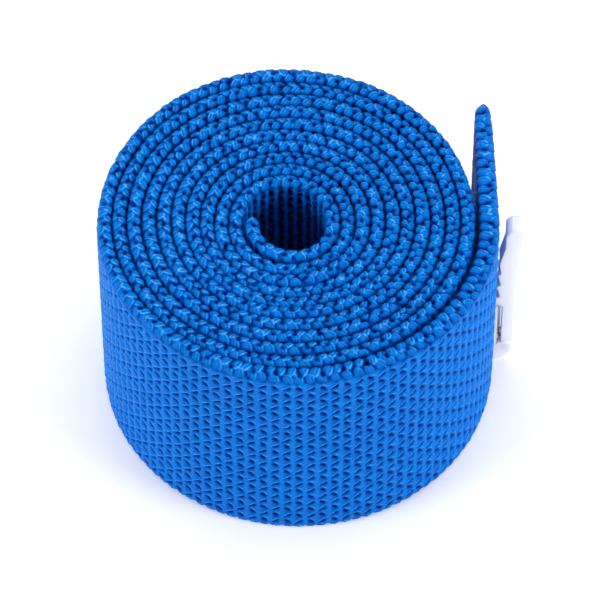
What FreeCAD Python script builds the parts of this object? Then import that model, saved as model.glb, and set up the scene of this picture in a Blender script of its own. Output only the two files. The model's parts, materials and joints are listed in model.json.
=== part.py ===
import FreeCAD, Part
import math
import os
from FreeCAD import Vector

# A tie-down strap wound into a flat spiral roll that stands on its edge, with a small moulded
# clip that grips the outer turn next to the free end.
# Frame: millimetres, +Z up, the roll's edge rests on z = 0, the roll's winding axis is along Z,
# and the origin is at the middle of the whole object's footprint.

# ---- webbing ------------------------------------------------------------------------------
webbing_width = 25.0          # a 1 inch webbing
webbing_thickness = 1.35      # one layer as it lies pressed in the roll
whole_turns = 10              # whole turns, before the last half turn at the front
eye_left = 3.78               # from the winding axis to the inner cut end
eye_right = 2.58              # from the winding axis to the first turn, on the other side
left_gap = 0.061              # air between two layers on the tight side
right_gap = 0.088             # air between two layers on the slack side
last_gap = 0.91               # air inside the outer turn, where it starts to leave the roll
lead_angle = 300.0            # degrees round the outer turn where the lead, which the clip holds, begins
lean_angle = 2.0              # degrees that the outer turn goes on past the winding axis

# ---- free end ------------------------------------------------------------------------------
bend_y = 6.3                  # where the free end bends, from the winding axis
free_length = 8.0             # from the bend to the cut end
bend_clearance = 0.12         # between the round root of the free end and the roll's end face
cut_corner = 1.2              # radius that the hot knife leaves on the corners of a cut end

# ---- moulded clip --------------------------------------------------------------------------
clip_depth = 2.0              # along the webbing
clip_start = 1.0              # from the winding axis to the clip's near face
clip_height = 21.3
foot_thickness = 0.9          # the part that passes under the webbing's edge
foot_clearance = 0.12
leg_thickness = 0.5           # the inner leg, behind the webbing
leg_height = 11.0
face_clearance = 0.18         # from the webbing to the clip's outer parts
rim_thickness = 0.28          # the thin wall that lies along the webbing
rim_height = 8.7
slot_width = 0.50             # the open slot between the rim and the jaw's arm
web_depth = 0.45              # of the web that closes the slot on its far side
arm_thickness = 1.10
cheek_width = 0.40
cheek_radius = 0.85
side_clearance = 0.10
pin_radius = 0.25
pin_running = 0.03            # radial, in the jaw
pin_held = 0.015              # radial, in the cheeks
pin_skin = 0.15               # left closed over the pin's near end
pivot_height = 2.05
jaw_clearance = 0.10          # between the cheeks' round top and the jaw's lower end
tooth_count = 3
tooth_pitch = 1.85
tooth_depth = 0.45
tooth_root = 0.25             # rise from a tooth's lower corner to its root
tooth_lean = 0.08             # how far each tooth's tip stands back from the one below it
bump_gap = 0.25               # over the rim
bump_slope = 0.35
bump_height = 1.3
neck_rise = 2.6               # from the last tooth to the lip
lip_flare = 0.75              # how far the lip leans away from the webbing
lip_growth = 0.2              # how much thicker the lip is than the arm
lip_bow = 0.28                # share of the flare that the outer face has half way up
nose_radius = 0.9             # of the lip's rounded inner corner
crown_share = 0.7             # of the nose radius, from the lip's face to its flat top
nose_share = 0.75             # how much of a true quarter round the nose keeps
lip_chamfer = (0.25, 0.35)    # of the lip's outer corner, across and down
heel_drop = 0.3               # from the pivot's height to where the rounded heel starts
heel_middle = (0.60, 0.32)    # middle point of the heel's arc, as shares of its width and rise

# ---- spring --------------------------------------------------------------------------------
wire_radius = 0.07
coil_clearance = 0.05         # between the coil and the pin
coil_turns = 3
spring_leg = 1.8              # the leg that hooks into the jaw
hook_depth = 0.35             # of the hole that the hook goes into
pin_chamfer = 0.08
wire_flat = 0.8               # half width of a straight leg, as a share of the wire's radius


def half_turns():
    """Winds the centre line out from the eye: (centre x, radius, first angle, last angle)."""
    left_pitch = webbing_thickness + left_gap
    right_pitch = webbing_thickness + right_gap
    left = eye_left + webbing_thickness / 2
    right = eye_right + webbing_thickness / 2
    arcs = []
    for turn in range(whole_turns + 1):
        outer_turn = turn == whole_turns
        if outer_turn:
            right += last_gap - right_gap
        last_angle = 360.0 + lean_angle if outer_turn else 360.0
        arcs.append(((right - left) / 2, (right + left) / 2, 180.0, last_angle))
        if not outer_turn:
            left += left_pitch
            arcs.append(((right - left) / 2, (right + left) / 2, 0.0, 180.0))
            right += right_pitch
    return arcs


ARCS = half_turns()
LEAN = math.radians(lean_angle)
RUN_DIRECTION = Vector(-math.sin(LEAN), math.cos(LEAN), 0)
RUN_NORMAL = Vector(math.cos(LEAN), math.sin(LEAN), 0)


def on_arc(arc, offset, degrees):
    """A point of a half turn, moved outwards by offset."""
    centre_x, radius, first, last = arc
    angle = math.radians(degrees)
    return Vector(centre_x + (radius + offset) * math.cos(angle), (radius + offset) * math.sin(angle), 0)


RUN_START = on_arc(ARCS[-1], 0, 360.0 + lean_angle)
BEND = RUN_START + RUN_DIRECTION * ((bend_y - RUN_START.y) / RUN_DIRECTION.y)
ROLL_END = BEND - RUN_DIRECTION * (webbing_thickness / 2 + bend_clearance)


def box(x, y, z):
    """A box from (low, high) pairs."""
    return Part.makeBox(x[1] - x[0], y[1] - y[0], z[1] - z[0], Vector(x[0], y[0], z[0]))


def along_y(radius, x, z, y):
    """A round bar along Y, from y[0] to y[1]."""
    return Part.makeCylinder(radius, y[1] - y[0], Vector(x, y[0], z), Vector(0, 1, 0))


def arc_edge(first, middle, last):
    return Part.Arc(first, middle, last).toShape()


def line_edge(first, last):
    return Part.LineSegment(first, last).toShape()


def webbing_x(y):
    """The x of the webbing's middle where it runs straight, at a given y."""
    return RUN_START.x + RUN_DIRECTION.x * (y - RUN_START.y) / RUN_DIRECTION.y


CLIP_Y = (clip_start, clip_start + clip_depth)
CLIP_MIDDLE = clip_start + clip_depth / 2
PIN_Y = (CLIP_Y[0] + pin_skin, CLIP_Y[1])
OUTER_FACE = webbing_x(clip_start) + webbing_thickness / 2
INNER_FACE = webbing_x(clip_start + clip_depth) - webbing_thickness / 2


def foot_notch():
    """Where the clip's foot pushes the webbing's lower edge up."""
    side = 2 * foot_clearance
    middle = webbing_x(CLIP_MIDDLE)
    return box(
        (middle - webbing_thickness, middle + webbing_thickness),
        (CLIP_Y[0] - side, CLIP_Y[1] + side),
        (-1.0, foot_thickness + foot_clearance),
    )


def wound_band(arcs, run_end=None):
    """A closed band of webbing along some half turns, and on along the straight run if it has an end."""
    half = webbing_thickness / 2
    edges = []
    for offset in (half, -half):
        for arc in arcs:
            first, last = arc[2], arc[3]
            ends = [on_arc(arc, offset, a) for a in (first, (first + last) / 2, last)]
            edges.append(arc_edge(*ends))
        if run_end:
            edges.append(line_edge(on_arc(arcs[-1], offset, arcs[-1][3]), run_end + RUN_NORMAL * offset))
    edges.append(line_edge(on_arc(arcs[0], half, arcs[0][2]), on_arc(arcs[0], -half, arcs[0][2])))
    if run_end:
        edges.append(line_edge(run_end + RUN_NORMAL * half, run_end - RUN_NORMAL * half))
    else:
        edges.append(line_edge(on_arc(arcs[-1], half, arcs[-1][3]), on_arc(arcs[-1], -half, arcs[-1][3])))
    outline = Part.Wire(Part.__sortEdges__(edges))
    return Part.Face(outline).extrude(Vector(0, 0, webbing_width))


def strap_roll():
    """The wound turns, from the inner cut end to where the lead begins."""
    centre_x, radius, first, last = ARCS[-1]
    return wound_band(ARCS[:-1] + [(centre_x, radius, first, lead_angle)])


def strap_lead():
    """The last stretch of the outer turn, up to the bend of the free end, with the clip's foot under it."""
    centre_x, radius, first, last = ARCS[-1]
    return wound_band([(centre_x, radius, lead_angle, last)], ROLL_END).cut(foot_notch())


def strap_tail():
    """The free end: a round root about the bend, and a cut end with softened corners."""
    half = webbing_thickness / 2
    tip = BEND + RUN_DIRECTION * free_length
    side = RUN_NORMAL * half
    edges = [
        arc_edge(BEND - side, BEND - RUN_DIRECTION * half, BEND + side),
        line_edge(BEND + side, tip + side),
        line_edge(tip + side, tip - side),
        line_edge(tip - side, BEND - side),
    ]
    tail = Part.Face(Part.Wire(edges)).extrude(Vector(0, 0, webbing_width))
    corners = []
    for edge in tail.Edges:
        middle = edge.CenterOfMass
        flat = abs(edge.Vertexes[0].Z - edge.Vertexes[-1].Z) < 1e-6
        if flat and (middle - Vector(tip.x, tip.y, middle.z)).Length < 1e-6:
            corners.append(edge)
    return tail.makeFillet(cut_corner, corners)


RIM_X = (OUTER_FACE + face_clearance, OUTER_FACE + face_clearance + rim_thickness)
ARM_X = (RIM_X[1] + slot_width, RIM_X[1] + slot_width + arm_thickness)
PIVOT_X = ARM_X[1] - cheek_radius
LEG_X = (INNER_FACE - foot_clearance - leg_thickness, INNER_FACE - foot_clearance)


def clip_body():
    """Foot under the webbing, inner leg behind it, thin rim and web in front, and two pivot cheeks."""
    foot = box((LEG_X[0], RIM_X[1]), CLIP_Y, (0, foot_thickness))
    leg = box(LEG_X, CLIP_Y, (0, leg_height))
    rim = box(RIM_X, CLIP_Y, (0, rim_height))
    web_x = (RIM_X[1], ARM_X[0] - side_clearance)
    web = box(web_x, (CLIP_Y[1] - web_depth, CLIP_Y[1]), (pivot_height, rim_height))
    body = foot.fuse([leg, rim, web])
    outer = PIVOT_X + cheek_radius
    heel_x = RIM_X[1]
    heel_width = outer - heel_x
    heel_rise = pivot_height - heel_drop
    profile = Part.Wire([
        line_edge(Vector(RIM_X[0], 0, 0), Vector(heel_x, 0, 0)),
        arc_edge(
            Vector(heel_x, 0, 0),
            Vector(heel_x + heel_width * heel_middle[0], 0, heel_rise * heel_middle[1]),
            Vector(outer, 0, heel_rise),
        ),
        line_edge(Vector(outer, 0, heel_rise), Vector(outer, 0, pivot_height)),
        arc_edge(
            Vector(outer, 0, pivot_height),
            Vector(PIVOT_X, 0, pivot_height + cheek_radius),
            Vector(PIVOT_X - cheek_radius, 0, pivot_height),
        ),
        line_edge(Vector(PIVOT_X - cheek_radius, 0, pivot_height), Vector(RIM_X[0], 0, pivot_height)),
        line_edge(Vector(RIM_X[0], 0, pivot_height), Vector(RIM_X[0], 0, 0)),
    ])
    cheek = Part.Face(profile).extrude(Vector(0, cheek_width, 0))
    for y in (CLIP_Y[0], CLIP_Y[1] - cheek_width):
        body = body.fuse(cheek.translated(Vector(0, y, 0)))
    hole = along_y(pin_radius + pin_held, PIVOT_X, pivot_height, (PIN_Y[0] - pin_held, CLIP_Y[1] + 1))
    return body.cut(hole).removeSplitter()


def jaw_outline():
    """The jaw seen along the webbing: arm, bump, grip teeth and flared lip, as one closed wire."""
    base = pivot_height + cheek_radius + jaw_clearance
    grip_x = RIM_X[0]
    bump_base = rim_height + bump_gap
    teeth_base = bump_base + bump_height
    teeth_top = teeth_base + tooth_count * tooth_pitch
    neck = teeth_top + neck_rise
    top = clip_height
    points = [Vector(ARM_X[0], 0, base), Vector(ARM_X[0], 0, bump_base)]
    points.append(Vector(grip_x, 0, bump_base + bump_slope))
    points.append(Vector(grip_x, 0, teeth_base))
    for tooth in range(tooth_count):
        low = teeth_base + tooth * tooth_pitch
        points.append(Vector(grip_x + tooth_depth, 0, low + tooth_root))
        points.append(Vector(grip_x + tooth_lean * (tooth + 1), 0, low + tooth_pitch))
    inner_lip = grip_x + lip_flare
    points.append(Vector(inner_lip, 0, neck))
    points.append(Vector(inner_lip, 0, top - nose_radius))
    edges = [line_edge(a, b) for a, b in zip(points, points[1:])]
    outer_lip = ARM_X[1] + lip_flare + lip_growth
    crown = Vector(inner_lip + nose_radius * crown_share, 0, top)
    quarter = nose_radius * (1 - math.sqrt(0.5))
    edges.append(arc_edge(points[-1], Vector(inner_lip + quarter * nose_share, 0, top - quarter), crown))
    shoulder = Vector(outer_lip - lip_chamfer[0], 0, top)
    cheek_end = Vector(outer_lip, 0, top - lip_chamfer[1])
    flare_start = Vector(ARM_X[1], 0, teeth_base)
    bow = Vector(ARM_X[1] + lip_flare * lip_bow, 0, (teeth_base + cheek_end.z) / 2)
    edges.append(line_edge(crown, shoulder))
    edges.append(line_edge(shoulder, cheek_end))
    edges.append(arc_edge(cheek_end, bow, flare_start))
    edges.append(line_edge(flare_start, Vector(ARM_X[1], 0, base)))
    edges.append(line_edge(Vector(ARM_X[1], 0, base), points[0]))
    return Part.Wire(edges)


COIL_RADIUS = pin_radius + coil_clearance + wire_radius
COIL_LENGTH = 2 * wire_radius * coil_turns
COIL_Y = CLIP_Y[1] - cheek_width - side_clearance - COIL_LENGTH
KNUCKLE_Y = (CLIP_Y[0] + cheek_width + side_clearance, COIL_Y - side_clearance)
KNUCKLE_RADIUS = PIVOT_X - RIM_X[1] - side_clearance


def clip_jaw():
    """The gripping jaw with its knuckle, which turns on the pin between the cheeks."""
    blade = Part.Face(jaw_outline()).extrude(Vector(0, clip_depth, 0)).translated(Vector(0, CLIP_Y[0], 0))
    knuckle = along_y(KNUCKLE_RADIUS, PIVOT_X, pivot_height, KNUCKLE_Y)
    neck_top = pivot_height + cheek_radius + 2 * jaw_clearance
    neck = box((PIVOT_X - wire_radius, PIVOT_X + KNUCKLE_RADIUS), KNUCKLE_Y, (pivot_height, neck_top))
    hole = along_y(pin_radius + pin_running, PIVOT_X, pivot_height, (CLIP_Y[0] - 1, CLIP_Y[1] + 1))
    hook_y = COIL_Y + wire_radius
    hook_hole = Part.makeCylinder(
        wire_radius + pin_running,
        2 * hook_depth,
        Vector(ARM_X[0] - hook_depth, hook_y, pivot_height + spring_leg),
        Vector(1, 0, 0),
    )
    return blade.fuse([knuckle, neck]).cut(hole).cut(hook_hole).removeSplitter()


def clip_pin():
    """The steel pivot pin, pressed in from the far cheek, with chamfered ends."""
    pin = along_y(pin_radius, PIVOT_X, pivot_height, PIN_Y)
    return pin.makeChamfer(pin_chamfer, [edge for edge in pin.Edges if edge.Closed])


def clip_spring():
    """The torsion spring: a coil round the pin, one leg hooked into the jaw, one on the rim."""
    coil_y = (COIL_Y, COIL_Y + COIL_LENGTH)
    coil = along_y(COIL_RADIUS + wire_radius, PIVOT_X, pivot_height, coil_y)
    coil = coil.cut(along_y(COIL_RADIUS - wire_radius, PIVOT_X, pivot_height, coil_y))
    half = wire_radius * wire_flat
    root_x = PIVOT_X - COIL_RADIUS
    hook_x = ARM_X[0] - slot_width / 2
    hook_z = pivot_height + spring_leg
    hook_end = ARM_X[0] + hook_depth / 2
    corners = [
        (root_x - half, pivot_height),
        (hook_x - half, hook_z + half),
        (hook_end, hook_z + half),
        (hook_end, hook_z - half),
        (hook_x + half, hook_z - half),
        (root_x + half, pivot_height),
    ]
    loop = [Vector(x, coil_y[0] + wire_radius - half, z) for x, z in corners]
    leg = Part.Face(Part.makePolygon(loop + loop[:1])).extrude(Vector(0, 2 * half, 0))
    tang_z = pivot_height + COIL_RADIUS
    tang = box(
        (RIM_X[1] + side_clearance, PIVOT_X),
        (coil_y[1] - wire_radius - half, coil_y[1] - wire_radius + half),
        (tang_z - half, tang_z + half),
    )
    return coil.fuse([leg, tang])


NODES = {
    "strap_roll": strap_roll,
    "strap_lead": strap_lead,
    "strap_tail": strap_tail,
    "clip_body": clip_body,
    "clip_jaw": clip_jaw,
    "clip_pin": clip_pin,
    "clip_spring": clip_spring,
}


def main():
    os.makedirs("parts", exist_ok=True)
    shapes = {name: make() for name, make in NODES.items()}
    whole = Part.makeCompound(list(shapes.values())).BoundBox
    shift = Vector(-whole.Center.x, -whole.Center.y, 0)
    length = free_length + (ROLL_END - RUN_START).Length + webbing_thickness / 2 + bend_clearance
    for centre_x, radius, first, last in ARCS:
        length += radius * math.radians(last - first)
    print("webbing length %.1f" % length)
    print("shift %.4f %.4f" % (shift.x, shift.y))
    print("bend axis %.4f %.4f" % (BEND.x + shift.x, BEND.y + shift.y))
    print("pivot axis %.4f %.4f %.4f" % (PIVOT_X + shift.x, CLIP_MIDDLE + shift.y, pivot_height))
    for name, shape in shapes.items():
        placed = shape.translated(shift)
        solids = placed.Solids
        final = solids[0] if len(solids) == 1 else placed
        print(name, len(solids), final.isValid(), "%.2f" % final.Volume, final.BoundBox)
        final.exportStep("parts/" + name + ".step")


main()
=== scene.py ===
import json
import math

import bmesh
import bpy
import numpy as np
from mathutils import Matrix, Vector


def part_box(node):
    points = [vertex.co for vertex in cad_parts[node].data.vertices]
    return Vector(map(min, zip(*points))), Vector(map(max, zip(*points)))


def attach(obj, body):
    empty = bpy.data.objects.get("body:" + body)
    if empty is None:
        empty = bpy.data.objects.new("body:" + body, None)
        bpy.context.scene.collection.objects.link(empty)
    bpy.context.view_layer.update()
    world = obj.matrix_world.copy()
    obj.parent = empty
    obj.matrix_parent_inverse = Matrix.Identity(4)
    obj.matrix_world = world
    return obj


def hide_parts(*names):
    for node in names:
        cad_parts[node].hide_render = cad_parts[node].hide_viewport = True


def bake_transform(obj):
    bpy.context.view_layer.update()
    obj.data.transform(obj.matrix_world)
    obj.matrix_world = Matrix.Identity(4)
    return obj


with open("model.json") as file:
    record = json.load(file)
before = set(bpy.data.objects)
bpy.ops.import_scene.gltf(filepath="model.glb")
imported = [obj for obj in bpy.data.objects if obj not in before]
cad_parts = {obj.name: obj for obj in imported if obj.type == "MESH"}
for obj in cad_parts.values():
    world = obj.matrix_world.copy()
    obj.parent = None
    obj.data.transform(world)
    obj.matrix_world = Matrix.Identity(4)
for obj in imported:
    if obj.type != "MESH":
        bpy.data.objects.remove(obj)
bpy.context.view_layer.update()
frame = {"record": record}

MM = 0.001

# ---- the strap as it is wound, in millimetres -------------------------------------------------
ROLL_LOW, ROLL_HIGH = [Vector(corner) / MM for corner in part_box("strap_roll")]
WIDTH = ROLL_HIGH.z - ROLL_LOW.z
THICK = 1.35                            # one layer as it lies in the roll
WHOLE_TURNS = 10                        # before the last half turn at the front
EYE_LEFT, EYE_RIGHT = 3.78, 2.58        # from the winding axis to the first turn, on each side
LEFT_GAP, RIGHT_GAP, LAST_GAP = 0.061, 0.088, 0.91   # air between layers, and inside the outer turn
LEAN = math.radians(2.0)                # how far the outer turn goes on past the winding axis
LEAD = math.radians(300.0)              # where the length that the clip holds begins
BEND_Y, FREE_LENGTH = 6.3, 8.0          # where the free end bends, and from there to its cut end

# ---- how the roll lies slack, in millimetres ----------------------------------------------------
EYE_PUSH, EYE_FADE = 0.62, 230.0        # the inner turns lean to the front, less along this length
CUT_PUSH, CUT_FADE = 0.34, 130.0        # and leave a gap beside the inner cut end
CUT_SIDE = math.radians(222)            # the side of the eye that the gap is on
SLACK_FULL, SLACK_FREE = 0.52, 0.20     # the slack outer turn's extra thickness, and its loss when free
BACK_BULGE = 0.30                       # the loose outer turn's swelling at the back
FOOT_LIFT, LIFT_HEIGHT = 1.02, 9.0      # at the selvedge over the clip's foot, fading to this height
BITE = (11.6, 14.0)                     # heights over which the clip stops pressing the strap
EDGE_WAVES = ((0.10, 0.083, 1.0), (0.07, 0.231, 2.0), (0.04, 0.61, 0.0))   # height, rate, start

# ---- the weave, in millimetres ------------------------------------------------------------------
PICK = 1.10               # between two weft picks, along the strap
YARN = 1.07               # one warp yarn, across the strap
LOOP = 2 * PICK           # one selvedge hole to every two picks
EDGE = 0.62               # how far the rounded selvedge reaches in from the strap's edge
STEP = PICK / 10          # mesh columns
FACE_ROWS, EDGE_ROWS = 216, 22
SHARES = 3                # lengths that the inner turns are made in, and the outer turn
SEAL = 0.7                # length of strap that the hot knife melted at a cut end
CROWN = 0.045             # height of a rib
VALLEY = 0.30             # half width of the valley between two ribs
VALLEY_OUT, VALLEY_IN = 0.08, 0.26      # its depth on the outer and the inner face
# The strokes of the face: lean in degrees, half length, half width, height.
DEEP_SLIT = (38, 0.38, 0.18, -0.42)
SHALLOW_SLIT = (-40, 0.36, 0.15, -0.30)
YARN_BELOW = (-38, 0.42, 0.13, 0.16)
YARN_ABOVE = (38, 0.42, 0.13, 0.15)
BESIDE, ASIDE = 0.37, 0.04              # of those two yarns from the deep slit, across and along
# The selvedge's thread loops, one at each pick in each of two rows.
ROUND = 0.66              # length round the edge for one radian
LOOP_LONG, LOOP_WIDE = 0.49, 0.66       # a loop's half sizes
PLY = 0.30                # one ply of the loop's thread
LIT_REACH, LIT_WIDTH = 0.74, 0.15       # the lit arc of painted highlight on each loop, as shares of the loop's size
OUTER_ROW, INNER_ROW, HOLE_ROW = 0.98, 2.20, 1.62   # radians round the edge
TWIST = 0.75              # radians that a loop leans, one way in each row
HOLE_LONG, HOLE_WIDE = 0.25, 0.24       # half sizes of a hole
SIZE_VARIES, PLACE_VARIES, ROUND_VARIES, TWIST_VARIES = 0.16, 0.13, 0.20, 0.35
END_THIN, END_REACH = 0.12, 4.0         # the outer end is pressed thinner, over this length
CORNER_DROP, CORNER_REACH = 0.6, 1.2    # of the outer end's rounded corners
PAINTED_SHADING_GAIN = 1.35          # how strongly the relief paints shade in the face's slits and valleys and a highlight on its raised yarns

# ---- the clip, in millimetres -------------------------------------------------------------------
HINGE_LOW, HINGE_TOP = 1.9, 3.4         # heights between which its edges are left crisp
LIP_DEPTH = 0.95                        # of the lip's softly rounded top
ANY_LOW, ANY_HIGH = -1.0, 99.0          # below and above every edge
CRISP, BODY_ROUND, JAW_ROUND, LIP_ROUND = 0.04, 0.10, 0.12, 0.30
SAME_PLANE, SHARP, CREASE = [math.radians(angle) for angle in (1.0, 28.0, 40.0)]
WIRE, COIL_RADIUS = 0.07, 0.37          # the spring wire's radius, and its coil's
HOOK_REACH = 0.15         # from the spring's rim end to the middle of its leg
HOOK_END, HOOK_BEND = 0.42, 0.2
HOOK_POINTS, COIL_POINTS, WIRE_SIDES = 7, 70, 12

# ---- the studio, in metres and watts --------------------------------------------------------------
LIGHTS = (
    ("left_softbox", (-0.43, -0.16, 0.17), 0.22, 1.62),
    ("right_softbox", (0.44, -0.20, 0.18), 0.22, 1.90),
    ("top_softbox", (0.02, 0.12, 0.46), 0.34, 1.15),
)


def half_turns():
    """The wound centre line as half turns: centre x, radius, first angle, last angle."""
    left, right = EYE_LEFT + THICK / 2, EYE_RIGHT + THICK / 2
    arcs = []
    for turn in range(WHOLE_TURNS):
        arcs.append(((right - left) / 2, (right + left) / 2, math.pi, 2 * math.pi))
        left += THICK + LEFT_GAP
        arcs.append(((right - left) / 2, (right + left) / 2, 0.0, math.pi))
        right += THICK + RIGHT_GAP
    right += LAST_GAP - RIGHT_GAP
    arcs.append(((right - left) / 2, (right + left) / 2, math.pi, 2 * math.pi + LEAN))
    return np.array(arcs)


ARCS = half_turns()
LENGTHS = ARCS[:, 1] * (ARCS[:, 3] - ARCS[:, 2])
STARTS = np.concatenate([[0.0], np.cumsum(LENGTHS)])
RUN_START_S = STARTS[-1]
AXIS_X = ROLL_LOW.x - (ARCS[-1, 0] - ARCS[-1, 1] - THICK / 2)
AXIS_Y = ROLL_LOW.y + ARCS[-1, 1] + THICK / 2
RUN_Y = ARCS[-1, 1] * math.sin(LEAN)
BEND_S = RUN_START_S + (BEND_Y - RUN_Y) / math.cos(LEAN)
STRAP_LENGTH = BEND_S + FREE_LENGTH
CLIP_NEAR, CLIP_FAR = [corner[1] / MM - AXIS_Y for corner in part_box("clip_body")]


def half_turn_at(s):
    """Which half turn each length s along the strap lies on."""
    return np.clip(np.searchsorted(STARTS, s, side="right") - 1, 0, len(ARCS) - 1)


def turn_angle(s):
    """The direction from the roll's middle, in radians, of a point at length s."""
    index = half_turn_at(s)
    return ARCS[index, 2] + (s - STARTS[index]) / ARCS[index, 1]


def centre_line(s):
    """Middle of the strap and its outward direction at lengths s from the inner cut end."""
    index = half_turn_at(s)
    centre, radius, first = ARCS[index, 0], ARCS[index, 1], ARCS[index, 2]
    along = s - STARTS[index]
    past = np.maximum(s - RUN_START_S, 0.0)
    angle = first + (along - past) / radius
    out_x, out_y = np.cos(angle), np.sin(angle)
    x = centre + radius * out_x - past * out_y
    y = radius * out_y + past * out_x
    return x + AXIS_X, y + AXIS_Y, out_x, out_y


def chance(k, salt):
    """The same even spread of values from -1 to 1 for each whole number k, every run."""
    return 2 * np.modf(np.abs(np.sin(k * 12.9898 + salt * 78.233) * 43758.5453))[0] - 1


def smooth_step(x, low, high):
    """0 below low, 1 above high, and an easy slope between."""
    t = np.clip((x - low) / (high - low), 0.0, 1.0)
    return t * t * (3 - 2 * t)


def spot(u, v, length, width):
    """A spot with steep sides: 1 in its middle, fading to 0."""
    return np.exp(-((u / length) ** 2 + (v / width) ** 2) ** 1.5)


def turned(along, across, lean):
    """A place in axes that lean by an angle."""
    u = along * np.cos(lean) + across * np.sin(lean)
    v = across * np.cos(lean) - along * np.sin(lean)
    return u, v


def stroke(along, across, shape, side, spare=0.0):
    """A short slanted stroke of the face, which leans the other way on the other side."""
    degrees, length, width, height = shape
    u, v = turned(along, across, (np.radians(degrees) + spare) * side)
    return height * spot(u, v, length, width)



def face_relief(s, z, side):
    """Height of the woven face: smooth ribs, and between them yarns that dive in brick order."""
    column = np.rint(s / PICK)
    along = s - column * PICK
    shift = np.mod(column, 2) * YARN
    row = np.rint((z - shift) / (2 * YARN))
    across = z - shift - row * 2 * YARN
    beside = YARN - np.abs(across)
    beside = np.where(across > 0, -beside, beside)
    uneven = chance(column * 7 + row * 13, 1.0)
    along = along + 0.05 * uneven
    deep = stroke(along, across, DEEP_SLIT, side, 0.12 * uneven) * (1 + 0.18 * uneven)
    shallow = stroke(along, beside, SHALLOW_SLIT, side)
    below = stroke(along - ASIDE * side, across + BESIDE, YARN_BELOW, side)
    above = stroke(along + ASIDE * side, across - BESIDE, YARN_ABOVE, side)
    valley = np.where(side < 0, VALLEY_IN, VALLEY_OUT) * np.exp(-(along / VALLEY) ** 4)
    return CROWN + deep + shallow + below + above - valley



def loops(s, theta, middle, offset, twist, salt):
    """One row of thread loops along the selvedge, one at each pick: dome, plies and a lit arc that is a
    painted highlight in the tone.
    """
    number = np.rint((s - offset) / PICK)
    size = 1 + SIZE_VARIES * chance(number, salt)
    along = s - offset - number * PICK + PLACE_VARIES * chance(number, salt + 1)
    around = ROUND * (theta - middle - ROUND_VARIES * chance(number, salt + 2))
    u, v = turned(along, around, twist * (0.75 + TWIST_VARIES * chance(number, salt + 3)))
    reach = np.sqrt((u / (LOOP_LONG * size)) ** 2 + (v / (LOOP_WIDE * size)) ** 2)
    dome = np.sqrt(np.clip(1 - reach ** 2, 0.0, 1.0))
    plies = np.cos(2 * math.pi * u / PLY) * dome
    # The lit side of each loop carries a painted highlight in the tone, and a slight rise in the height.
    lit_side = smooth_step(u + 0.2 * chance(number, salt + 4), -0.05, 0.15)
    arc = np.exp(-((reach - LIT_REACH) / LIT_WIDTH) ** 2) * lit_side
    return dome, plies, arc



def edge_relief(s, theta):
    """The knitted selvedge's height and tone: two rows of loops, and a hole at every other pick. The tone
    paints shade in the holes and between the loops, and a highlight on each loop's lit side.
    """
    outer = loops(s, theta, OUTER_ROW, 0.0, TWIST, 2.0)
    inner = loops(s, theta, INNER_ROW, PICK / 2, -TWIST, 11.0)
    dome = np.maximum(outer[0], inner[0])
    plies = np.where(outer[0] >= inner[0], outer[1], inner[1])
    arc = np.maximum(outer[2], inner[2])
    number = np.floor(s / LOOP)
    along = s - (number + 0.5 + 0.10 * chance(number, 20.0)) * LOOP
    around = ROUND * (theta - HOLE_ROW - 0.25 * chance(number, 21.0))
    hole = spot(along, around, HOLE_LONG, HOLE_WIDE)
    height = 0.28 * dome - 0.16 - 0.28 * hole + 0.03 * plies + 0.03 * arc
    # Painted shade in the holes, between the loops' domes and between the plies, and a painted highlight
    # on each loop's lit side.
    tone = 0.34 * dome - 0.26 - 0.32 * hole + 0.06 * plies + 0.20 * arc * (1 - hole)
    return height, tone



def section_rows(outer_rows, inner_rows):
    """The strap's section from the outer face round: side (1 out, -1 in, 0 edge), z and edge angle."""
    low, high = EDGE, WIDTH - EDGE
    rows = []
    for z in np.linspace(low, high, outer_rows, endpoint=False):
        rows.append((1, z, 0.0))
    for theta in np.linspace(0, math.pi, EDGE_ROWS, endpoint=False):
        rows.append((0, high, theta))
    for z in np.linspace(high, low, inner_rows, endpoint=False):
        rows.append((-1, z, math.pi))
    for theta in np.linspace(math.pi, 2 * math.pi, EDGE_ROWS + 1):
        rows.append((0, low, theta))
    return np.array(rows)


def past_axis(s):
    """How far along +Y the straight run has come from the winding axis."""
    return RUN_Y + (s - RUN_START_S)


def within(x, low, high, ramp):
    """1 from low to high, with an easy slope outside each."""
    return smooth_step(x, low - ramp, low) * (1 - smooth_step(x, high, high + ramp))


def fullness(s, z):
    """Extra thickness towards the inside where the outer turn is slack, less where the clip bites."""
    slack = smooth_step(s, STARTS[-2] + 2.0, STARTS[-2] + 30.0)
    by_clip = within(past_axis(s), CLIP_NEAR, CLIP_FAR, 1.0)
    free = smooth_step(past_axis(s), 4.0, 9.0)
    return (SLACK_FULL - SLACK_FREE * free) * slack * (1 - by_clip * (1 - smooth_step(z, *BITE)))



def slack_bulge(s):
    """How far the loose outer turn swells outwards at the back of the roll."""
    return BACK_BULGE * np.sin(math.pi * np.clip((s - STARTS[-3]) / LENGTHS[-2], 0.0, 1.0)) ** 2


def spread(s):
    """How far the inner turns are pushed out to the front, and the turns round the cut end more."""
    angle = turn_angle(s)
    front = np.clip(-np.sin(angle), 0.0, 1.0) ** 1.2
    by_cut = np.clip(np.cos(angle - CUT_SIDE), 0.0, 1.0) ** 3 * smooth_step(s, STARTS[1], STARTS[2])
    to_front = EYE_PUSH * front * np.exp(-(s / EYE_FADE) ** 2)
    return to_front + CUT_PUSH * by_cut * np.exp(-(s / CUT_FADE) ** 2)



def foot_lift(s, z):
    """How far the clip's foot pushes the strap's lower edge up."""
    over = within(past_axis(s), CLIP_NEAR - 0.2, CLIP_FAR + 0.2, 0.45)
    return FOOT_LIFT * over * np.clip(1 - z / LIFT_HEIGHT, 0.0, 1.0) ** 2



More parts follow.
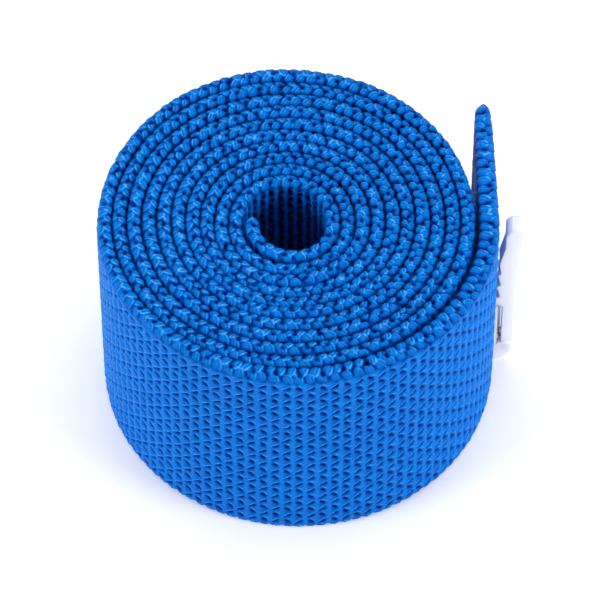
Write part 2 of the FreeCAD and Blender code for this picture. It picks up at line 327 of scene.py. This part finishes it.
def wind(s, rows):
    """Where points of the strap lie, given by length s and section row, and each one's tone: painted
    shade in the dips, painted highlight on the raised yarns.
    """
    side, z, theta = rows[:, 0], rows[:, 1], rows[:, 2]
    on_edge = side == 0
    to_end = STRAP_LENGTH - s
    # The cut ends are melted to a bead, and the outer one has rounded corners.
    bead = np.clip(np.minimum(s, to_end / 2) / SEAL, 0.0, 1.0)
    squeeze = np.sqrt(np.maximum(1 - (1 - bead) ** 2, 0.02))
    squeeze = squeeze * (1 - END_THIN * smooth_step(s, STRAP_LENGTH - END_REACH, STRAP_LENGTH))
    corner = CORNER_DROP * np.clip(1 - to_end / CORNER_REACH, 0.0, 1.0) ** 2
    # The plain section, across the thickness and up.
    out = np.where(side > 0, 1.0, np.where(side < 0, -1.0, np.cos(theta)))
    up = np.where(on_edge, np.sin(theta), 0.0)
    half_out = (THICK / 2 + slack_bulge(s)) * squeeze
    half_in = (THICK / 2 + fullness(s, z)) * squeeze
    across = out * np.where(out > 0, half_out, half_in) + spread(s)
    height = z + EDGE * on_edge * up
    # The face's relief runs into the selvedge's.
    face = face_relief(s, z, np.where(side >= 0, 1.0, -1.0))
    edge, edge_painted_shading = edge_relief(s, np.where(theta > math.pi, 2 * math.pi - theta, theta))
    blend = np.where(on_edge, np.abs(np.sin(theta)) ** 0.7, 0.0)
    border = np.exp(-np.maximum(np.minimum(z, WIDTH - z) - EDGE, 0.0) / 0.25)
    relief = np.where(on_edge, blend * edge + (1 - blend) * face * 0.6, face * (1 - 0.4 * border))
    # Painted shade in the face's slits and valleys and a painted highlight on its raised yarns, from the
    # relief.
    tone = CROWN + PAINTED_SHADING_GAIN * (face - CROWN)
    tone = np.where(on_edge, blend * edge_painted_shading + (1 - blend) * tone, tone)
    relief = relief + 0.02 * np.sin(s * 9.1 + z * 3.0) * np.sin(s * 5.3 - z * 7.7 + 1.0)
    relief = relief * (0.2 + 0.8 * smooth_step(bead, 0.55, 1.0))
    across = across + relief * out * squeeze
    height = height + relief * up
    height = WIDTH / 2 + (height - WIDTH / 2) * (1 - 2 * corner / WIDTH)
    # The turns' upper edges aren't quite level, and the loose outer turn stands a little higher.
    uneven = sum(size * np.sin(s * rate + start) for size, rate, start in EDGE_WAVES)
    rise = uneven - 0.12 + 0.7 * slack_bulge(s)
    top_share = np.clip(height / WIDTH, 0.0, 1.0)
    height = np.maximum(height + foot_lift(s, height) + rise * top_share ** 3, 0.0)
    x, y, out_x, out_y = centre_line(s)
    return np.stack([x + across * out_x, y + across * out_y, height], axis=1) * MM, tone


def mesh_from(name, shape):
    """Turns a finished bmesh into a mesh."""
    mesh = bpy.data.meshes.new(name)
    shape.to_mesh(mesh)
    shape.free()
    return mesh


def placed(name, mesh, material):
    """Puts a finished mesh in the scene, at the origin."""
    piece = bpy.data.objects.new(name, mesh)
    bpy.context.scene.collection.objects.link(piece)
    piece.data.materials.append(material)
    return piece


def flat_grid(name, columns, rows):
    """A grid mesh, with each vertex's share of the way along it and its whole row number."""
    grid = bmesh.new()
    bmesh.ops.create_grid(grid, x_segments=columns, y_segments=rows, size=1)
    mesh = mesh_from(name, grid)
    flat = np.empty(len(mesh.vertices) * 3)
    mesh.vertices.foreach_get("co", flat)
    flat = flat.reshape(-1, 3)
    return mesh, (flat[:, 0] + 1) / 2, np.rint((flat[:, 1] + 1) / 2 * rows).astype(int)


def closed_piece(name, mesh, material):
    """Joins a rolled-up grid along its seam, closes its two ends, and puts it in the scene."""
    band = bmesh.new()
    band.from_mesh(mesh)
    bmesh.ops.remove_doubles(band, verts=band.verts, dist=1e-7)
    open_edges = [edge for edge in band.edges if edge.is_boundary]
    for edge in open_edges:
        edge.smooth = False
    bmesh.ops.holes_fill(band, edges=open_edges, sides=0)
    bmesh.ops.recalc_face_normals(band, faces=band.faces)
    for face in band.faces:
        face.smooth = True
    band.to_mesh(mesh)
    band.free()
    return placed(name, mesh, material)


def webbing_piece(name, start, stop, outer_rows, inner_rows):
    """One length of the strap as a closed band, from a grid wrapped round the section."""
    rows = section_rows(outer_rows, inner_rows)
    mesh, share, row = flat_grid(name, int(round((stop - start) / STEP)), len(rows) - 1)
    s = start + (stop - start) * share
    points, tone = wind(s, rows[row])
    mesh.vertices.foreach_set("co", points.ravel())
    layer = mesh.attributes.new("tone", "FLOAT", "POINT")
    layer.data.foreach_set("value", tone)
    side, z, theta = rows[:, 0], rows[:, 1], rows[:, 2]
    round_the_section = np.where(side > 0, z, np.where(side < 0, 2 * WIDTH - z, z + theta))
    corners = np.empty(len(mesh.loops), dtype=int)
    mesh.loops.foreach_get("vertex_index", corners)
    uv = np.stack([s[corners], round_the_section[row[corners]]], axis=1) * MM
    mesh.uv_layers.new(name="strap").data.foreach_set("uv", uv.ravel())
    return closed_piece(name, mesh, WEBBING)


# ---- materials ------------------------------------------------------------------------------------
def colour(hex_value):
    """An sRGB hex colour as the linear RGBA that the shaders take."""
    parts = [int(hex_value[i:i + 2], 16) / 255 for i in (1, 3, 5)]
    return [p / 12.92 if p <= 0.04045 else ((p + 0.055) / 1.055) ** 2.4 for p in parts] + [1.0]


def add(tree, kind, settings=None, sockets=None):
    """Adds one node, with its settings, its socket values and the sockets that feed it."""
    made = tree.nodes.new(kind)
    for key, value in (settings or {}).items():
        setattr(made, key, value)
    for key, value in (sockets or {}).items():
        if isinstance(value, bpy.types.NodeSocket):
            tree.links.new(value, made.inputs[key])
        else:
            made.inputs[key].default_value = value
    return made


def new_material(name):
    """A material with its node tree and its main shader."""
    material = bpy.data.materials.new(name)
    material.use_nodes = True
    tree = material.node_tree
    return material, tree, tree.nodes["Principled BSDF"]


def woven_polypropylene():
    """Solution-dyed polypropylene webbing, woven from shiny filaments: satin, with painted shade in its
    dips and painted highlights on its raised yarns.
    """
    material, tree, shader = new_material("woven_polypropylene")
    strap = add(tree, "ShaderNodeUVMap", {"uv_map": "strap"})
    # Filaments are 0.03 mm in a real yarn, and are drawn 0.10 mm wide so that they show.
    stretch = add(tree, "ShaderNodeMapping", sockets={
        "Vector": strap.outputs["UV"], "Scale": (1 / (0.30 * MM), 1 / (0.11 * MM), 1)})
    filaments = add(tree, "ShaderNodeTexNoise", {"noise_dimensions": "2D"}, {
        "Vector": stretch.outputs["Vector"], "Scale": 1.0, "Detail": 2.0, "Roughness": 0.6,
        "Distortion": 1.4})
    broad = add(tree, "ShaderNodeMapping", sockets={
        "Vector": strap.outputs["UV"], "Scale": (1 / (9 * MM), 1 / (YARN * MM), 1)})
    yarns = add(tree, "ShaderNodeTexNoise", {"noise_dimensions": "2D"}, {
        "Vector": broad.outputs["Vector"], "Scale": 1.0, "Detail": 1.0})
    tone = add(tree, "ShaderNodeAttribute", {"attribute_name": "tone"})
    # The tone picks a colour from this ramp: painted shade, dark navy, in the slits and holes, and a
    # painted highlight, light blue, on the raised yarns and the loops' lit sides.
    depth = add(tree, "ShaderNodeMapRange", sockets={
        "Value": tone.outputs["Fac"], "From Min": -0.32, "From Max": 0.17})
    ramp = add(tree, "ShaderNodeValToRGB", sockets={"Fac": depth.outputs["Result"]})
    stops = ramp.color_ramp.elements
    stops[0].color, stops[1].color = colour("#001C62"), colour("#58B0FF")
    for place, value in ((0.28, "#0042A2"), (0.56, "#0066CC"), (0.76, "#0079DE"), (0.87, "#1089F0")):
        stops.new(place).color = colour(value)
    tint = add(tree, "ShaderNodeMapRange", sockets={
        "Value": yarns.outputs["Fac"], "To Min": 0.90, "To Max": 1.10})
    grain = add(tree, "ShaderNodeMapRange", sockets={
        "Value": filaments.outputs["Fac"], "From Min": 0.3, "From Max": 0.7,
        "To Min": 0.72, "To Max": 1.26})
    value = add(tree, "ShaderNodeMath", {"operation": "MULTIPLY"}, {
        0: tint.outputs["Result"], 1: grain.outputs["Result"]})
    shade = add(tree, "ShaderNodeHueSaturation", sockets={
        "Color": ramp.outputs["Color"], "Value": value.outputs["Value"]})
    bump = add(tree, "ShaderNodeBump", sockets={
        "Height": filaments.outputs["Fac"], "Strength": 1.0, "Distance": 0.12 * MM})
    tree.links.new(shade.outputs["Color"], shader.inputs["Base Color"])
    tree.links.new(bump.outputs["Normal"], shader.inputs["Normal"])
    shader.inputs["Roughness"].default_value = 0.36
    shader.inputs["IOR"].default_value = 1.49
    shader.inputs["Specular IOR Level"].default_value = 0.05
    return material


def moulded_acetal():
    """White acetal from a fine-sparked mould: satin, slightly translucent, faintly lavender."""
    material, tree, shader = new_material("moulded_acetal")
    place = add(tree, "ShaderNodeTexCoord")
    grain = add(tree, "ShaderNodeTexNoise", sockets={
        "Vector": place.outputs["Object"], "Scale": 1 / (0.25 * MM), "Detail": 2.0})
    flow = add(tree, "ShaderNodeTexNoise", sockets={
        "Vector": place.outputs["Object"], "Scale": 1 / (6 * MM), "Detail": 1.0})
    tone = add(tree, "ShaderNodeValToRGB", sockets={"Fac": flow.outputs["Fac"]})
    tone.color_ramp.elements[0].color = colour("#FCF5FB")
    tone.color_ramp.elements[1].color = colour("#FFFBFE")
    bump = add(tree, "ShaderNodeBump", sockets={
        "Height": grain.outputs["Fac"], "Strength": 0.15, "Distance": 0.02 * MM})
    tree.links.new(tone.outputs["Color"], shader.inputs["Base Color"])
    tree.links.new(bump.outputs["Normal"], shader.inputs["Normal"])
    shader.inputs["Roughness"].default_value = 0.32
    shader.inputs["IOR"].default_value = 1.48
    shader.inputs["Subsurface Weight"].default_value = 0.6
    shader.inputs["Subsurface Radius"].default_value = (1.1 * MM, 1.1 * MM, 1.2 * MM)
    shader.inputs["Subsurface Scale"].default_value = 1.0
    return material


def drawn_steel(name, hex_value, roughness, streak):
    """Bright steel, ground or drawn: fine lines round or along it, streak millimetres apart."""
    material, tree, shader = new_material(name)
    place = add(tree, "ShaderNodeTexCoord")
    lines = add(tree, "ShaderNodeMapping", sockets={
        "Vector": place.outputs["Object"],
        "Scale": (1 / (streak * MM), 1 / (8 * streak * MM), 1 / (streak * MM))})
    noise = add(tree, "ShaderNodeTexNoise", sockets={
        "Vector": lines.outputs["Vector"], "Scale": 1.0, "Detail": 2.0})
    polish = add(tree, "ShaderNodeMapRange", sockets={
        "Value": noise.outputs["Fac"], "To Min": roughness - 0.08, "To Max": roughness + 0.08})
    tree.links.new(polish.outputs["Result"], shader.inputs["Roughness"])
    shader.inputs["Base Color"].default_value = colour(hex_value)
    shader.inputs["Metallic"].default_value = 1.0
    return material


def studio_paper():
    """Seamless white background paper: matt, almost even."""
    material, tree, shader = new_material("studio_paper")
    place = add(tree, "ShaderNodeTexCoord")
    fibre = add(tree, "ShaderNodeTexNoise", sockets={
        "Vector": place.outputs["Object"], "Scale": 1 / (2 * MM), "Detail": 3.0})
    tone = add(tree, "ShaderNodeValToRGB", sockets={"Fac": fibre.outputs["Fac"]})
    tone.color_ramp.elements[0].color = colour("#FBFBFB")
    tone.color_ramp.elements[1].color = colour("#FFFFFF")
    tree.links.new(tone.outputs["Color"], shader.inputs["Base Color"])
    shader.inputs["Roughness"].default_value = 0.9
    shader.inputs["Specular IOR Level"].default_value = 0.1
    shader.inputs["Emission Color"].default_value = colour("#FFFFFF")
    shader.inputs["Emission Strength"].default_value = 0.14
    return material


WEBBING = woven_polypropylene()
ACETAL = moulded_acetal()
PIN_STEEL = drawn_steel("ground_steel", "#C9CACD", 0.28, 0.05)
WIRE_STEEL = drawn_steel("spring_wire", "#8E9095", 0.38, 0.04)


# ---- the strap ------------------------------------------------------------------------------------
def on_pick(s):
    """The pick nearest to a length along the strap, so that pieces meet on a column of the weave."""
    return round(s / PICK) * PICK


def strap():
    """The whole strap, in lengths that meet on a column of the weave."""
    core_end = on_pick(STARTS[2])
    outer_start = on_pick(STARTS[-3] + 1.0)
    lead_start = on_pick(STARTS[-2] + ARCS[-1, 1] * (LEAD - math.pi))
    lead_end = on_pick(RUN_START_S - 1.0)
    spans = [("strap_core_turn", 0.0, core_end, 2, FACE_ROWS)]
    for name, start, stop, outer_rows in (
        ("strap_inner_turns_%d", core_end, outer_start, 2),
        ("strap_outer_turn_%d", outer_start, lead_start, FACE_ROWS),
    ):
        for i in range(SHARES):
            first = on_pick(start + (stop - start) * i / SHARES)
            last = on_pick(start + (stop - start) * (i + 1) / SHARES)
            spans.append((name % (i + 1), first, last, outer_rows, 2))
    spans.append(("strap_held_run", lead_start, lead_end, FACE_ROWS, 2))
    for name, first, last, outer_rows, inner_rows in spans:
        piece = webbing_piece(name, first, last, outer_rows, inner_rows)
        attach(piece, "roll")
        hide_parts("strap_lead" if first == lead_start else "strap_roll")
    free_end = webbing_piece("strap_free_end", lead_end, STRAP_LENGTH, FACE_ROWS, FACE_ROWS)
    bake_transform(free_end)
    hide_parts("strap_lead", "strap_tail")


def frame_joint(name):
    """Where a joint's axis passes, in metres."""
    joints = frame["record"]["behaviour"]["joints"]
    return Vector(next(j["pos_m"] for j in joints if j["name"] == name))


# ---- the clip -------------------------------------------------------------------------------------
def softened(node, rounds, segments=4):
    """A moulded piece from its CAD node, with its edges rounded.

    Each round is a lowest and highest height, a radius in millimetres, and whether the
    radius gives way where edges are close together.
    """
    source = bpy.data.objects[node]
    shell = bmesh.new()
    shell.from_mesh(source.data)
    bmesh.ops.remove_doubles(shell, verts=shell.verts, dist=1e-7)
    bmesh.ops.dissolve_limit(shell, angle_limit=SAME_PLANE, verts=shell.verts, edges=shell.edges)
    for low, high, radius, clamp in rounds:
        sharp = []
        for edge in shell.edges:
            heights = [vert.co.z / MM for vert in edge.verts]
            inside = low <= min(heights) and max(heights) <= high
            if inside and edge.is_manifold and edge.calc_face_angle() > SHARP:
                sharp.append(edge)
        bmesh.ops.bevel(
            shell, geom=sharp, offset=radius * MM, offset_type="OFFSET", segments=segments,
            profile=0.5, affect="EDGES", material=-1, clamp_overlap=clamp)
    bmesh.ops.recalc_face_normals(shell, faces=shell.faces)
    for face in shell.faces:
        face.smooth = True
    mesh = mesh_from(node + "_moulding", shell)
    mesh.set_sharp_from_angle(angle=CREASE)
    piece = placed(mesh.name, mesh, ACETAL)
    even = piece.modifiers.new("even_faces", "WEIGHTED_NORMAL")
    even.weight = 100
    even.keep_sharp = True
    return piece


def wire_spring():
    """The torsion spring as one bent wire: hook, leg, coil round the pin, and a tang on the rim."""
    low, high = [Vector(corner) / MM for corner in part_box("clip_spring")]
    pivot = frame_joint("jaw_pivot") / MM
    near, far = low.y + WIRE, high.y - WIRE
    hook_z = high.z - WIRE
    hook_x = low.x + HOOK_REACH
    bend = np.linspace(math.pi / 2, math.pi, HOOK_POINTS)
    path = [(hook_x + HOOK_END, near, hook_z)]
    for angle in bend:
        path.append((
            hook_x + HOOK_BEND + HOOK_BEND * math.cos(angle), near,
            hook_z - HOOK_BEND + HOOK_BEND * math.sin(angle)))
    turn = np.linspace(math.pi, 4.5 * math.pi, COIL_POINTS)
    for angle, y in zip(turn, np.linspace(near, far, len(turn))):
        path.append((pivot.x + COIL_RADIUS * math.cos(angle), y, pivot.z + COIL_RADIUS * math.sin(angle)))
    path.append((low.x + WIRE, far, pivot.z + COIL_RADIUS))
    path = np.array(path)
    ahead = np.gradient(path, axis=0)
    ahead /= np.linalg.norm(ahead, axis=1, keepdims=True)
    across = np.cross(ahead, (0.0, 1.0, 0.0))
    across /= np.linalg.norm(across, axis=1, keepdims=True)
    up = np.cross(across, ahead)
    mesh, share, row = flat_grid("spring_wire", len(path) - 1, WIRE_SIDES)
    at = np.rint(share * (len(path) - 1)).astype(int)
    angle = (2 * math.pi * row / WIRE_SIDES)[:, None]
    points = path[at] + WIRE * (np.cos(angle) * across[at] + np.sin(angle) * up[at])
    mesh.vertices.foreach_set("co", (points * MM).ravel())
    return closed_piece("spring_wire", mesh, WIRE_STEEL)


def clip():
    """The spring clip: two mouldings, the bent wire, and the pin as the CAD has it."""
    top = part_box("clip_jaw")[1][2] / MM
    body_rounds = [(HINGE_LOW, HINGE_TOP, CRISP, True), (ANY_LOW, ANY_HIGH, BODY_ROUND, True)]
    jaw_rounds = [
        (top - LIP_DEPTH, ANY_HIGH, LIP_ROUND, False),
        (ANY_LOW, HINGE_TOP, CRISP, True),
        (HINGE_TOP, ANY_HIGH, JAW_ROUND, True),
    ]
    for node, body, rounds in (("clip_body", "roll", body_rounds), ("clip_jaw", "jaw", jaw_rounds)):
        piece = softened(node, rounds)
        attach(piece, body)
        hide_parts(node)
    spring = wire_spring()
    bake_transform(spring)
    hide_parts("clip_spring")
    pin = bpy.data.objects["clip_pin"]
    pin.data.materials.clear()
    pin.data.materials.append(PIN_STEEL)


# ---- the studio -----------------------------------------------------------------------------------
def studio():
    """A sheet of paper to stand on, a pale room and three soft lights."""
    sheet = bmesh.new()
    bmesh.ops.create_grid(sheet, x_segments=1, y_segments=1, size=1.5)
    placed("paper", mesh_from("paper", sheet), studio_paper())
    world = bpy.data.worlds.new("studio")
    world.use_nodes = True
    background = world.node_tree.nodes["Background"]
    background.inputs["Color"].default_value = colour("#FFFFFF")
    background.inputs["Strength"].default_value = 0.36
    bpy.context.scene.world = world
    for name, place, size, power in LIGHTS:
        light = bpy.data.lights.new(name, "AREA")
        light.shape = "SQUARE"
        light.size = size
        light.energy = power
        lamp = bpy.data.objects.new(name, light)
        lamp.location = place
        towards_roll = Vector((0, 0, 0.01)) - Vector(place)
        lamp.rotation_euler = towards_roll.to_track_quat("-Z", "Y").to_euler()
        bpy.context.scene.collection.objects.link(lamp)
    bpy.context.scene.view_settings.view_transform = "Standard"


def camera():
    """A long lens, looking down at 54 degrees along +Y."""
    elevation, distance, focal_length = math.radians(54.0), 464.0, 285.36
    right = Vector((1, 0, 0))
    up = Vector((0, math.sin(elevation), math.cos(elevation)))
    back = Vector((0, -math.cos(elevation), math.sin(elevation)))
    aim_right, aim_down = 0.117, 0.654
    target = Vector((AXIS_X, AXIS_Y, WIDTH / 2)) + right * aim_right - up * aim_down
    lens = bpy.data.cameras.new("camera")
    lens.sensor_width = 36.0
    lens.lens = focal_length
    lens.clip_start, lens.clip_end = 0.01, 10.0
    eye = bpy.data.objects.new("camera", lens)
    eye.location = (target + back * distance) * MM
    eye.rotation_euler = (math.pi / 2 - elevation, 0, 0)
    bpy.context.scene.collection.objects.link(eye)
    bpy.context.scene.camera = eye


strap()
clip()
studio()
camera()
